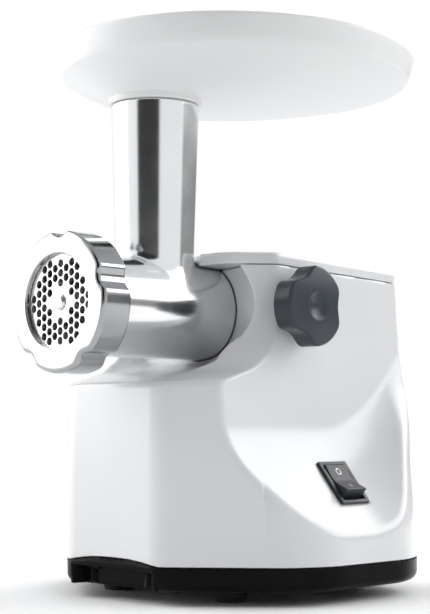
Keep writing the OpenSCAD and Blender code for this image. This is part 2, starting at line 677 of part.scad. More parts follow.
module front_bracket() color(black) shift() difference() {
  union() {
    intersection() { mbar(40, 52, 56); ybox(-42, 42, 50, 58, motor_z - 24, motor_z + 24); }
    mbar(13, 48, 56);
    for (x = [-36, 36]) ybar(5, 52, 80, x, motor_z);
    for (x = [-24, 24]) ybox(x - 5, x + 5, 50, 56, 17, motor_z - 15);
  }
  mbar(8, 47.5, 54);
  mbar(5, 40, 60);
  for (x = [-36, 36]) ybar(2.2, 50, 81, x, motor_z);
}
module stator_bolts() color(steel) shift() for (x = [-36, 36]) {
  ybar(2, 49, 121, x, motor_z);
  ybar(3.6, 48.6, 52, x, motor_z);
  ybar(3.6, 118, 121, x, motor_z);
}
module brush_holders() color(brass) shift() for (s = [-1, 1]) difference() {
  ybox(s > 0 ? 13.4 : -31, s > 0 ? 31 : -13.4, 62, 73, motor_z - 5, motor_z + 5);
  ybox(s > 0 ? 12 : -29.5, s > 0 ? 29.5 : -12, 63.5, 71.5, motor_z - 3.5, motor_z + 3.5);
}
module carbon_brushes() color([0.12, 0.12, 0.12]) shift() for (s = [-1, 1]) difference() {
  ybox(s > 0 ? 10 : -29.4, s > 0 ? 29.4 : -10, 63.5, 71.5, motor_z - 3.5, motor_z + 3.5);
  mbar(11.3, 60, 75);
}
module motor_bearings() color(steel) shift() {
  mtube(8, 4.04, 48, 54);
  mtube(11, 4.04, 136, 141);
}

// ---------- switch and electrics ----------
module switch_frame() color(black) shift() on_panel() difference() {
  union() {
    translate([-15.5, -12.95, 0.05]) cube([31, 25.9, 2]);
    translate([-13.7, -10.7, -9]) cube([27.4, 21.4, 9.1]);
  }
  translate([-13.3 + 0.6, -9.6, -10]) cube([25.4, 19.2, 14]);
  translate([0, 12, -2.4]) rotate([90, 0, 0]) cylinder(h = 24, r = 1.55);
}
rock = [[-11, -1.5], [-11.2, 6.4], [-10.3, 7.6], [-5, 5.6], [0, 5], [5, 5.6], [10.3, 7.6], [11.2, 6.4],
  [11, -1.5], [5, -4.6], [-5, -4.6]];
module switch_rocker() color(black) shift() on_panel() translate([0, 0, -2.4]) {
  translate([0, 9.35, 0]) rotate([90, 0, 0]) linear_extrude(18.7)
    polygon([for (p = rock) let(a = rocker_tilt) [p[0] * cos(a) - p[1] * sin(a), p[0] * sin(a) + p[1] * cos(a)]]);
  translate([0, 10.5, 0]) rotate([90, 0, 0]) cylinder(h = 21, r = 1.5);
}
module switch_block() color(black) shift() on_panel() {
  translate([-13.2, -10.2, -21]) cube([26.4, 20.4, 12]);
  for (x = [-8, 0, 8]) translate([x - 0.4, -3, -28]) cube([0.8, 6, 7.2]);
}
module capacitor() color([0.75, 0.72, 0.55]) shift() {
  ybar(11, 186, 222, 34, 26);
  for (y = [193, 213]) ybox(23, 41, y, y + 4, 11, 24);
}
module terminal_block() color(nylon) shift() difference() {
  ybox(-20, 14, 196, 212, 11, 26);
  for (i = [0 : 3]) translate([-16 + i * 8.6, 204, 15]) cylinder(h = 20, r = 2);
}
module cord_gland() color(black) shift() difference() {
  union() {
    ybar(9, rear_y - 7, rear_y + 1.2, -45, 42);
    ybar(12, rear_y + 0.6, rear_y + 3, -45, 42);
    ycone(8, 6.4, rear_y + 3, rear_y + 9, -45, 42);
    ybar(11.5, rear_y - 10, rear_y - 6, -45, 42);
  }
  ybar(3.6, rear_y - 14, rear_y + 12, -45, 42);
}

housing();
top_cover();
base_pan();
feet();
base_screws();
grinder_head();
head_bush();
plate_key();
ring_nut();
cutting_plate();
knife();
auger();
plate_pin();
auger_shank();
tray();
lock_knob();
lock_screw();
lock_pad();
lock_bushing();
outlet_collar();
drive_socket();
output_gear();
output_bearings();
second_gear();
second_shaft();
first_gear();
first_shaft();
idler_bushes();
gearbox_case();
gearbox_cover();
gearbox_screws();
motor_pinion();
motor_shaft();
rotor_core();
rotor_windings();
commutator();
cooling_fan();
stator_core();
field_coils();
front_bracket();
stator_bolts();
brush_holders();
carbon_brushes();
motor_bearings();
switch_frame();
switch_rocker();
switch_block();
capacitor();
terminal_block();
cord_gland();
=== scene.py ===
import bpy, json, math
import numpy as np
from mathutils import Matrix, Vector


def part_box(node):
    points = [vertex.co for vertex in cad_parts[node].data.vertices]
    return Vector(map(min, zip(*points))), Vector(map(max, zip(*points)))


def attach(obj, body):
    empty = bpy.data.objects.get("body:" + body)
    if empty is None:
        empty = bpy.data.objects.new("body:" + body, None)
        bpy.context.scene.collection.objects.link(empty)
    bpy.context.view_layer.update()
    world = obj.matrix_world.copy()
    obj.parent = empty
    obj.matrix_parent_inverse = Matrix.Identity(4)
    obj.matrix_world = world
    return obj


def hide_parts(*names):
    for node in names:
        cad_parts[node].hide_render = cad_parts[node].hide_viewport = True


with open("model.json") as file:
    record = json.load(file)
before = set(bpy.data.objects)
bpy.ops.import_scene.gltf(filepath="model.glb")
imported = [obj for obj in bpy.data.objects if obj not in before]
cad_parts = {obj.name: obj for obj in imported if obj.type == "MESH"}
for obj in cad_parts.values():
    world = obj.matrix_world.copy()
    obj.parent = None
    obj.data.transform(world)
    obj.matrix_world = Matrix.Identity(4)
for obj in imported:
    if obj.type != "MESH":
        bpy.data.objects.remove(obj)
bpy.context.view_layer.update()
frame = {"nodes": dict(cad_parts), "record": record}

FY = 135.5          # model Y of a station = station - FY, in mm
HZ = 172.5          # axis of the grinding head
LOCK_Y = 126.0      # axis of the clamp knob
F32 = np.float32


# ------------------------------------------------------------------ helpers
def new_obj(name, verts, faces, body, mat=None, replaces=(), smooth=True):
    me = bpy.data.meshes.new(name)
    me.from_pydata([tuple(v) for v in verts], [], [tuple(f) for f in faces])
    me.validate()
    me.update()
    if smooth:
        me.polygons.foreach_set("use_smooth", [True] * len(me.polygons))
    ob = bpy.data.objects.new(name, me)
    bpy.context.scene.collection.objects.link(ob)
    if mat is not None:
        me.materials.append(mat)
    if body:
        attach(ob, body)
    if replaces:
        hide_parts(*replaces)
    return ob


def fast_mesh(name, V, Q):
    """mesh from an (n,3) vertex array in mm stations and an (m,4) quad array"""
    me = bpy.data.meshes.new(name)
    V = np.asarray(V, float).copy()
    V[:, 1] -= FY
    V = (V * 0.001).astype(F32)
    Q = np.asarray(Q, np.int32)
    me.vertices.add(len(V))
    me.vertices.foreach_set("co", V.ravel())
    me.loops.add(Q.size)
    me.loops.foreach_set("vertex_index", Q.ravel())
    me.polygons.add(len(Q))
    me.polygons.foreach_set("loop_start", np.arange(0, Q.size, Q.shape[1], dtype=np.int32))
    me.polygons.foreach_set("loop_total", np.full(len(Q), Q.shape[1], np.int32))
    me.polygons.foreach_set("use_smooth", np.ones(len(Q), bool))
    me.update(calc_edges=True)
    me.validate()
    return me


def place(name, me, body, mat, replaces=(), sharp=None):
    ob = bpy.data.objects.new(name, me)
    bpy.context.scene.collection.objects.link(ob)
    me.materials.append(mat)
    if sharp is not None:
        me.set_sharp_from_angle(angle=math.radians(sharp))
    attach(ob, body)
    if replaces:
        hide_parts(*replaces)
    return ob


# ---- solids from a signed field, meshed with surface nets ----
EDGES = [(0, 1), (2, 3), (4, 5), (6, 7), (0, 2), (1, 3), (4, 6), (5, 7), (0, 4), (1, 5), (2, 6), (3, 7)]


def field_mesh(fn, lo, hi, h, steps=3):
    lo = np.array(lo, float)
    n = [int(math.ceil((hi[i] - lo[i]) / h)) + 1 for i in range(3)]
    ax = [(lo[i] + np.arange(n[i]) * h).astype(F32) for i in range(3)]
    F = np.empty(n, F32)
    slab = max(1, int(1.5e6 / (n[1] * n[2])))
    Y, Z = np.meshgrid(ax[1], ax[2], indexing="ij")
    for a in range(0, n[0], slab):
        b = min(n[0], a + slab)
        X = ax[0][a:b, None, None]
        F[a:b] = fn(np.broadcast_to(X, (b - a, n[1], n[2])), Y[None], Z[None])
    F[np.abs(F) < 1e-5] = 1e-5
    S = F < 0
    c = [S[i:n[0] - 1 + i, j:n[1] - 1 + j, k:n[2] - 1 + k] for k in (0, 1) for j in (0, 1) for i in (0, 1)]
    tot = sum(x.astype(np.int8) for x in c)
    act = (tot > 0) & (tot < 8)
    ci = np.argwhere(act)
    idx = np.full(act.shape, -1, np.int32)
    idx[act] = np.arange(len(ci), dtype=np.int32)
    off = np.array([(i, j, k) for k in (0, 1) for j in (0, 1) for i in (0, 1)])
    val = np.stack([F[ci[:, 0] + o[0], ci[:, 1] + o[1], ci[:, 2] + o[2]] for o in off], 1)
    acc = np.zeros((len(ci), 3)); cnt = np.zeros(len(ci))
    for a, b in EDGES:
        va, vb = val[:, a], val[:, b]
        m = (va < 0) != (vb < 0)
        t = np.where(m, va / np.where(va == vb, 1, va - vb), 0)[:, None]
        p = off[a] + (off[b] - off[a]) * t
        acc += np.where(m[:, None], p, 0); cnt += m
    V = lo + (ci + acc / cnt[:, None]) * h
    quads = []
    for d in range(3):
        e = [(1, 2), (2, 0), (0, 1)][d]
        s0 = np.take(S, range(n[d] - 1), axis=d); s1 = np.take(S, range(1, n[d]), axis=d)
        ch = s0 != s1
        g = np.argwhere(ch)
        ok = (g[:, e[0]] > 0) & (g[:, e[1]] > 0) & (g[:, e[0]] < n[e[0]] - 1) & (g[:, e[1]] < n[e[1]] - 1)
        g = g[ok]
        inside_first = s0[g[:, 0], g[:, 1], g[:, 2]]
        q = []
        for da, db in ((-1, -1), (0, -1), (0, 0), (-1, 0)):
            k = g.copy(); k[:, e[0]] += da; k[:, e[1]] += db
            q.append(idx[k[:, 0], k[:, 1], k[:, 2]])
        q = np.stack(q, 1)
        q[~inside_first] = q[~inside_first][:, ::-1]
        quads.append(q)
    Q = np.concatenate(quads)
    Q = Q[(Q >= 0).all(1)]
    # pull the vertices onto the surface
    eps = 0.02
    V = V.astype(np.float64)
    for _ in range(steps):
        f = fn(V[:, 0], V[:, 1], V[:, 2])
        G = np.stack([(fn(*(V + e).T) - fn(*(V - e).T)) / (2 * eps) for e in np.eye(3) * eps], 1)
        g2 = (G * G).sum(1)
        step = G * (f / np.maximum(g2, 0.15))[:, None]
        L = np.linalg.norm(step, axis=1)
        V -= step * np.minimum(1, 0.6 * h / np.maximum(L, 1e-9))[:, None]
    return V, Q


def smin(a, b, k):
    h = np.maximum(k - np.abs(a - b), 0) / k
    return np.minimum(a, b) - h * h * k / 4


def smax(a, b, k):
    return -smin(-a, -b, k)


def vlen(*a):
    return np.sqrt(sum(x * x for x in a))


def fy_tube(x, z, r, cx=0.0, cz=HZ):
    return vlen(x - cx, z - cz) - r


def slab_y(y, a, b):
    return np.maximum(a - y, y - b)


def seg_box(x, y, z, c, half, r):
    qx = np.abs(x - c[0]) - half[0] + r; qy = np.abs(y - c[1]) - half[1] + r; qz = np.abs(z - c[2]) - half[2] + r
    out = vlen(np.maximum(qx, 0), np.maximum(qy, 0), np.maximum(qz, 0))
    return out + np.minimum(np.maximum(np.maximum(qx, qy), qz), 0) - r


# ------------------------------------------------------- form of the housing
BASE_HALF, CHIN_HALF, REAR_Y, PANEL_HALF = 110.0, 40.0, 237.5, 65.0
WALL, BASE_Z, LID_Z, BAND = 3.0, 22.0, 205.6, 7.3
STEP, BROW, QUARTER, CHIN_Y, CORNER = 53.5, 127.0, 44.0, 42.5, 65.0
LEDGE = math.tan(math.radians(17)); C17 = math.cos(math.radians(17))
QZ = BROW + LEDGE * (STEP - QUARTER) + QUARTER / C17
DRAFT = math.tan(math.radians(2.4))
SLOPE = 0.0339


def setback(z):
    a = 5 - np.sqrt(np.maximum(25 - (z - BROW + 3.7) ** 2, 0))
    b = (z - BROW) / LEDGE
    c = STEP - QUARTER + np.sqrt(np.maximum(QUARTER ** 2 - (QZ - z) ** 2, 0))
    return np.where(z < BROW - 3.7, 0, np.where(z < BROW + 1.08, a, np.where(z < QZ - QUARTER * C17, b, np.where(z < QZ, c, STEP))))


def outer_x(z): return BASE_HALF - DRAFT * (z - BASE_Z)
def panel_x(z): return PANEL_HALF + (205 - z) * 0.033


def plan_x(y, z):
    xo = outer_x(z); yc = CHIN_Y + 89.1
    arc = xo - CORNER + np.sqrt(np.maximum(CORNER ** 2 - (yc - y) ** 2, 0))
    return np.where(y < yc - 50, CHIN_HALF + (y - CHIN_Y) * 1.2, np.where(y < yc, arc, xo))


def scoop_x(y, z): return 73.6 + 0.825 * (82.5 - z) + 8 * (np.maximum(y - 150, 0) / 37) ** 2


def wall_x(y, z, k=3.0):
    cham = CHIN_HALF + (y - CHIN_Y - setback(z)) * 1.2
    side = smax(panel_x(z), scoop_x(y, z), 14)
    return smin(smin(cham, plan_x(y, z), k), side, k)


def rise(z):
    u = np.clip((z - 40) / 90, 0, 1); return u * u * (3 - 2 * u)


def back_r(z): return 69 - 64 * rise(z)
def back_x(z): return outer_x(z) + (panel_x(z) - outer_x(z)) * rise(z) + 4.5 * np.exp(-((z - 108) / 28) ** 2)


def slope1(fn, a, d=0.4):
    return (fn(a + d) - fn(a - d)) / (2 * d)


def form(x, y, z):
    """outside of the white shell, without its top and bottom, as a distance"""
    ax = np.abs(x)
    w = wall_x(y, z)
    d = 0.4
    wy = (wall_x(y + d, z) - wall_x(y - d, z)) / (2 * d)
    wz = (wall_x(y, z + d) - wall_x(y, z - d)) / (2 * d)
    side = (ax - w) / np.sqrt(1 + np.minimum(wy * wy + wz * wz, 9))
    sb = setback(z); sz = (setback(z + d) - setback(z - d)) / (2 * d)
    front = (CHIN_Y + sb - 0.4 * np.clip(1 - (x / CHIN_HALF) ** 2, 0, 1) - y) / np.sqrt(1 + np.minimum(sz * sz, 25))
    r = back_r(z); bx = back_x(z); yr = REAR_Y - 0.027 * (z - BASE_Z)
    qx = ax - (bx - r); qy = y - (yr - r)
    back = vlen(np.maximum(qx, 0), np.maximum(qy, 0)) + np.minimum(np.maximum(qx, qy), 0) - r
    return smax(smax(side, front, 5.0), back, 2.0)


def chan_floor(y): return np.interp(y, [30, 60, 123], [124.5, 132.8, 141.9])


def recess(x, y, z):
    """channel for the barrel, ending on a raised collar round the barrel's end"""
    r = vlen(x, z - HZ)
    w = np.clip((y - 84) / 14, 0, 1)
    q = np.where(z > HZ, r, np.abs(x) * (1 - w) + r * w)
    W = np.interp(y, [60, 72, 88, 100, 116], [40, 40, 46.5, 52.6, 53.4])
    cone = q - W
    cone = smax(cone, (y - (117.4 - (r - 30.6) * 0.34)) * 0.94, 2.0)
    cone = smax(cone, chan_floor(y) - z, 7.0)
    cone = np.maximum(cone, z - 198.6)
    tunnel = r - 30.6
    return np.maximum(np.minimum(cone, tunnel), y - 119)


def lid_plane(y): return LID_Z - SLOPE * (y - 114)


# the switch panel's own axes
SW = np.array([86.0, 150.0, 67.5]); SA = math.radians(50.47)
SN = np.array([math.sin(SA), 0, math.cos(SA)]); SD = np.array([math.cos(SA), 0, -math.sin(SA)])


def sw_local(x, y, z):
    dx, dy, dz = x - SW[0], y - SW[1], z - SW[2]
    return dx * SD[0] + dz * SD[2], dy, dx * SN[0] + dz * SN[2]


def dish_depth(x, y, z):
    """shallow oval dish pressed into the inclined panel round the switch"""
    u, v, n = sw_local(x, y, z)
    e = np.sqrt((u / 34.0) ** 2 + (v / 52.0) ** 2)
    return e


def housing_field(x, y, z):
    f = form(x, y, z)
    outer = f
    shell = np.maximum(outer, -(outer + WALL))
    # wall of the cradle and recess
    r = vlen(x, z - HZ)
    q = np.where(z > HZ, r, np.abs(x))
    cradle = np.maximum(np.maximum(outer + 0.6, q - 56.0), np.maximum(slab_y(y, 40, 121.6), chan_floor(y) - 3 - z))
    f = np.minimum(shell, cradle)
    f = smax(f, -recess(x, y, z), 2.6)
    f = np.maximum(f, -np.maximum(r - 30.6, slab_y(y, 117, 126)))
    # foot edge with the arch under the chin, and the seam under the lid
    arch = 3.5 * np.clip(1 - (np.abs(x) / 38) ** 2.4, 0, 1) * (y < 70)
    f = smax(f, BASE_Z + 0.15 + arch - z, 0.8)
    f = smax(f, z - (lid_plane(y) - BAND - 0.25), 0.8)
    # window for the switch
    u, v, n = sw_local(x, y, z)
    win = np.maximum(np.maximum(np.abs(u) - 13.9, np.abs(v) - 10.9), np.abs(n) - 20)
    f = np.maximum(f, -win)
    f = smax(f, -np.maximum(np.maximum(np.abs(u) - 15.8, np.abs(v) - 13.25), slab_y(n, 0, 6)), 0.5)
    # hole for the clamp screw's bush
    f = np.maximum(f, -np.maximum(np.maximum(vlen(y - LOCK_Y, z - HZ) - 8, 50 - x), x - 90))
    f = np.maximum(f, -np.maximum(np.maximum(vlen(y - LOCK_Y, z - HZ) - 5.6, 20 - x), x - 58))
    # cord opening and vents in the back
    f = np.maximum(f, -np.maximum(vlen(x + 45, z - 42) - 9.2, 225 - y))
    sx = np.abs(x - np.round(x / 9) * 9)
    qz = np.maximum(np.abs(z - 87) - 15.4, 0)
    vent = np.maximum(np.maximum(vlen(sx, qz) - 1.6, 225 - y), np.abs(x) - 40)
    f = smax(f, -vent, 0.8)
    return f


def lid_field(x, y, z):
    f = form(x, y, z) + 0.0
    top = (z - lid_plane(y)) * 0.9994
    # soft rolled edge round the lid
    k = 2.2
    qx = np.maximum(f + k, 0); qy = np.maximum(top + k, 0)
    o = vlen(qx, qy) + np.minimum(np.maximum(f + k, top + k), 0) - k
    inner = np.maximum(form(x, y, z) + WALL, top + WALL)
    inner = np.maximum(inner, 121.6 - y)
    g = np.maximum(o, -inner)
    g = smax(g, (lid_plane(y) - BAND + 0.2) - z, 0.8)
    g = smax(g, -np.maximum(vlen(x, z - HZ) - 31.0, y - 140), 0.6)
    notch = np.minimum(vlen(x, y - 77) - 27.2, np.maximum(np.abs(x) - 27.2, y - 77))
    g = smax(g, -notch, 1.2)
    return g


def base_field(x, y, z):
    zc = np.full_like(z * 1.0, BASE_Z) if np.ndim(z) else BASE_Z
    f = form(x, y, zc + 0 * z) + 0.25
    k = 6.0
    low = 8.0 - z
    qx = np.maximum(f + k, 0); qz = np.maximum(low + k, 0)
    o = vlen(qx, qz) + np.minimum(np.maximum(f + k, low + k), 0) - k
    o = smax(o, z - (BASE_Z - 0.1), 0.5)
    inner = np.maximum(f + 3.4, 11 - z)
    g = np.maximum(o, -inner)
    # closed wall of the recess under the chin
    rec = np.maximum(np.maximum(np.abs(x) - 39 + (y - 30) * 8 / 21, y - 51), z - 19.0)
    wall = np.maximum(np.maximum(np.maximum(np.abs(x) - 42.5 + (y - 30) * 8 / 21, y - 54), f + 0.4), np.maximum(8 - z, z - (BASE_Z - 0.3)))
    g = np.minimum(g, wall)
    g = smax(g, -rec, 1.5)
    # lip that fills the arch in the housing
    arch = 3.15 * np.clip(1 - (np.abs(x) / 37) ** 2.4, 0, 1)
    g = smin(g, np.maximum(np.maximum(np.abs(x) - 37, slab_y(y, 43.1, 47.7)), np.maximum(19.5 - z, z - (BASE_Z - 0.1) - arch)), 0.4)
    for px, py in ((70, 96), (-70, 96), (62, 208), (-62, 208)):
        post = np.maximum(vlen(x - px, y - py) - 7, slab_y(z, 8.2, 11.9))
        g = np.minimum(g, post)
        g = np.maximum(g, -np.maximum(vlen(x - px, y - py) - 4, z - 10))
        g = np.maximum(g, -(vlen(x - px, y - py) - 2.1))
    for px, py in ((24, 54), (-24, 54), (24, 150), (-24, 150)):
        g = np.minimum(g, np.maximum(vlen(x - px, y - py) - 5, slab_y(z, 9, 17)))
    for px, py in ((48, 93), (-48, 93), (75, 200), (-75, 200)):
        g = np.maximum(g, -(vlen(x - px, y - py) - 3))
    sx = np.abs(x - np.round(x / 9) * 9)
    vent = np.maximum(np.maximum(vlen(sx, np.maximum(np.abs(y - 104) - 10.5, 0)) - 1.5, z - 14), np.abs(x) - 31)
    g = smax(g, -vent, 0.6)
    return g


def head_field(x, y, z):
    r = vlen(x, z - HZ)
    rv = vlen(x, y - 77)
    barrel = smax(r - 30.1, slab_y(y, 10, 118.6), 1.6)
    thread = 35.5 - 0.55 * (0.5 + 0.5 * np.cos(2 * math.pi * (y - np.arctan2(z - HZ, x) / (2 * math.pi) * 4.0) / 4.0))
    th = smax(r - thread, slab_y(y, 6.5, 20.4), 1.4)
    ramp = np.maximum((r - (35.5 - (y - 19.6) * 5.5 / 2.9)) * 0.5, slab_y(y, 18.5, 23))
    f = np.minimum(np.minimum(barrel, th), ramp)
    neck = smax(r - 24, slab_y(y, 110, 133.5), 1.2)
    f = np.minimum(f, neck)
    tr = np.where(z > HZ + 28.5, 24 + (z - HZ - 28.5) * 3 / 96, 24.0)
    tube = smax(rv - tr, np.maximum(HZ - z, z - (HZ + 124.5)), 1.4)
    f = smin(f, tube, 4.5)
    # inside
    inside = np.minimum(np.maximum(r - 31.3, y - 8.4), np.maximum(r - 26.5, y - 112))
    inside = np.minimum(inside, r - 14)
    inside = np.minimum(inside, np.maximum(r - 16, 119.2 - y))
    ti = np.where(z > HZ + 22, 21 + (z - HZ - 22) * 3.6 / 102.6, 21.0)
    inside = smin(inside, np.maximum(rv - ti, HZ - z), 1.5)
    f = smax(f, -inside, 0.9)
    return f


def knob_field(x, y, z):
    u = y - LOCK_Y; w = z - HZ
    r = vlen(u, w)
    out = r - 24.0
    for a in (0, 120, 240):
        a = math.radians(a)
        s = 13.5 - vlen(u - 33 * math.cos(a), w - 33 * math.sin(a))
        out = smax(out, s, 4.5)
    x0, x1 = 74.2, 89.7
    # crowned face that falls towards the rim
    face = x - (x1 - 0.0035 * r * r)
    back = x0 - x
    k = 1.6
    qx = np.maximum(out + k, 0); qy = np.maximum(np.maximum(face, back) + k, 0)
    f = vlen(qx, qy) + np.minimum(np.maximum(out, np.maximum(face, back)) + k, 0) - k
    hub = smax(r - 9, np.maximum(72.2 - x, x - 76), 0.6)
    f = np.minimum(f, hub)
    dim = vlen(x - (x1 + 12.2), r) - 15.0
    f = smax(f, -dim, 0.9)
    f = np.maximum(f, -np.maximum(r - 4, x - 83.2))
    return f


def frame_field(x, y, z):
    u, v, n = sw_local(x, y, z)
    q = smax(smax(np.abs(u) - 15.5, np.abs(v) - 12.95, 1.6), np.maximum(0.05 - n, n - 2.05), 0.9)
    body = np.maximum(np.maximum(np.abs(u) - 13.7, np.abs(v) - 10.7), slab_y(n, -9, 0.1))
    q = np.minimum(q, body)
    hole = np.maximum(np.abs(u) - 12.9, np.abs(v) - 9.6)
    q = smax(q, -hole, 0.5)
    return q


def rocker_field(x, y, z):
    u, v, n = sw_local(x, y, z)
    n = n + 2.4
    a = math.radians(11)
    p = u * math.cos(a) + n * math.sin(a); q = -u * math.sin(a) + n * math.cos(a)
    # two gently dished halves meeting in a valley
    top = 5.0 + 2.6 * np.clip(np.abs(p) / 10.4, 0, 1.2) ** 1.5
    f = smax(np.abs(p) - 11.15, q - top, 1.3)
    low = np.maximum(-4.6 - q, (np.abs(p) - (11 + (q + 1.5) * 6 / 3.1)) * 0.4)
    f = np.maximum(f, low)
    f = smax(f, np.abs(v) - 9.35, 0.9)
    return f


def nut_field(x, y, z):
    r = vlen(x, z - HZ)
    out = r - 41.0
    for k in range(5):
        a = math.radians(17 + 72 * k)
        out = smax(out, 7.5 - vlen(x - 45.2 * math.cos(a), z - HZ - 45.2 * math.sin(a)), 2.4)
    # front edge rolled, back edge broken
    face = -y + 0.0016 * np.maximum(r - 28, 0) ** 2
    def roll(a, b, k):
        return vlen(np.maximum(a + k, 0), np.maximum(b + k, 0)) + np.minimum(np.maximum(a, b) + k, 0) - k
    f = roll(out, face, 2.6)
    f = roll(f, y - 21, 1.2)
    f = smax(f, -(r - 27.5), 1.1)
    f = smax(f, -np.maximum(r - 31.5, slab_y(y, 3, 8)), 0.5)
    thread = 35.85 + 0.45 * (0.5 - 0.5 * np.cos(2 * math.pi * (y - np.arctan2(z - HZ, x) / (2 * math.pi) * 4.0) / 4.0))
    f = smax(f, -np.maximum(r - thread, 6.2 - y), 0.6)
    return f


PITCH = 5.57


def plate_field(x, y, z):
    w = z - HZ
    r = vlen(x, w)
    f = smax(r - 31.0, slab_y(y, 3.2, 8.2), 0.7)
    cx = PITCH * math.cos(math.radians(30))
    i = np.round(x / cx)
    # nearest hole of this column, then of its neighbours
    best = np.full(np.shape(r), 99.0)
    for di in (-1, 0, 1):
        ii = i + di
        odd = np.mod(np.abs(ii), 2) / 2
        j = np.round(w / PITCH - odd)
        hx = ii * cx; hz_ = (j + odd) * PITCH
        hr = vlen(hx, hz_)
        d = vlen(x - hx, w - hz_) - 2.25
        d = np.where((hr > 10.5) & (hr < 24.8) & (np.abs(ii) < 5.5) & (np.abs(j) < 5.5), d, 99.0)
        best = np.minimum(best, d)
    f = smax(f, -best, 0.35)
    f = smax(f, -(r - 4.5), 0.6)
    f = smax(f, -(vlen(x, w - 31.7) - 1.9), 0.3)
    return f


# ------------------------------------------------------------------ tray
def tray_mesh(n=240):
    a = np.arange(n) * 2 * math.pi / n
    rx, ry, top = 110.0, 0.0, 340.0
    ry = TRAY_RY
    rows = []

    def dish(s, ri, ex, ey, z0, z1):
        p = 1.4 + 0.35 * np.sin(a)
        cx = ri + (ex - ri) * s; cy = ri + (ey - ri) * s
        yc = 77 + (148.4 - 77) * s
        return np.stack([cx * np.cos(a), yc + cy * np.sin(a), z0 + (z1 - z0) * s ** p], 1)

    def oval(q0, q1, yc, z):
        return np.stack([(rx - q0) * np.cos(a), yc + (ry - q1) * np.sin(a), np.full(n, z)], 1)
    s_out = np.concatenate([np.linspace(0, 0.9, 26), [0.93, 0.955, 0.975]])
    for s in s_out:
        rows.append(dish(s, 29, rx - 2.6, ry - 4.4, 301, 323))
    # rounded turn from the underside into the rim wall, then the wall
    p0 = rows[-1]; p1 = oval(2.6, 4.4, 148.4, 323.2); p2 = oval(1.75, 3.6, 148.6, 326.0)
    for t in (0.25, 0.5, 0.75, 1.0):
        rows.append((1 - t) ** 2 * p0 + 2 * t * (1 - t) * p1 + t * t * p2)
    for t in np.linspace(0, 1, 8)[1:]:
        u = t
        q0 = 1.75 * (1 - u) ** 1.3; q1 = 3.6 * (1 - u) ** 1.3
        rows.append(oval(q0, q1, 148.6 + (150.7 - 148.6) * u, 326.0 + (338.8 - 326.0) * u))
    for b in (22, 45, 68, 90):
        c = math.radians(b)
        rows.append(oval(1.4 - 1.4 * math.cos(c), 1.4 - 1.4 * math.cos(c), 150.7, 338.6 + 1.4 * math.sin(c)))
    for b in (68, 45, 22, 0):
        c = math.radians(b)
        rows.append(oval(1.4 + 1.4 * math.cos(c), 1.4 + 1.4 * math.cos(c), 150.7, 338.6 + 1.4 * math.sin(c)))
    for t in (0.25, 0.5, 0.75, 1.0):
        rows.append(oval(2.8 + 1.6 * t, 2.8 + 2.6 * t, 150.7 - 1.5 * t, 338.6 - 9.6 * t))
    q = dish(0.975, 24, rx - 5.8, ry - 7.6, 304, 326)
    p0 = rows[-1]; p1 = oval(5.2, 6.8, 148.6, 326.4)
    for t in (0.25, 0.5, 0.75):
        rows.append((1 - t) ** 2 * p0 + 2 * t * (1 - t) * p1 + t * t * q)
    for s in np.concatenate([[0.975, 0.955, 0.93], np.linspace(0.9, 0, 26)]):
        rows.append(dish(s, 24, rx - 5.8, ry - 7.6, 304, 326))
    # mouth of the spout, its bore and its outside back up to the collar
    def ring(r, z):
        return np.stack([r * np.cos(a), 77 + r * np.sin(a), np.full(n, float(z))], 1)
    for r, z in ((23.0, 303.3), (22.0, 302.2), (21.2, 301.2), (20.7, 300.2), (20.5, 299.0), (20.5, 290), (20.5, 280), (20.5, 270), (20.5, 263.2),
                 (20.8, 262.4), (21.4, 262.0), (22.1, 262.0), (22.7, 262.4), (22.95, 263.2), (23.2, 270), (23.55, 280), (23.8, 290), (24.0, 296.9),
                 (24.3, 297.3), (27.6, 297.3), (28.3, 297.5), (28.6, 298.2), (28.6, 300.2), (28.7, 300.8)):
        rows.append(ring(r, z))
    V = np.concatenate(rows); m = len(rows)
    k = np.arange(m)[:, None]; i = np.arange(n)[None, :]
    kk = (k + 1) % m; j = (i + 1) % n
    Q = np.stack([k * n + i, k * n + j, kk * n + j, kk * n + i], -1).reshape(-1, 4)
    return V, Q


def lathe(profile, axis, centre, n=96):
    """closed profile of (radius, height) turned about an axis through centre (stations, mm)"""
    a = np.arange(n) * 2 * math.pi / n
    P = np.asarray(profile, float); m = len(P)
    c, s = np.cos(a), np.sin(a)
    r = P[:, 0][:, None]; h = np.repeat(P[:, 1][:, None], n, 1)
    A, B = r * c, r * s
    if axis == "x": W = np.stack([h, A, B], -1)
    elif axis == "y": W = np.stack([B, h, A], -1)
    else: W = np.stack([A, B, h], -1)
    V = W.reshape(-1, 3) + np.asarray(centre, float)
    k = np.arange(m)[:, None]; i = np.arange(n)[None, :]
    kk = (k + 1) % m; j = (i + 1) % n
    Q = np.stack([k * n + i, k * n + j, kk * n + j, kk * n + i], -1).reshape(-1, 4)
    return V, Q


# --------------------------------------------------------------- materials
def N(nt, kind, loc=(0, 0), **kw):
    nd = nt.nodes.new(kind); nd.location = loc
    for k, v in kw.items():
        setattr(nd, k, v)
    return nd


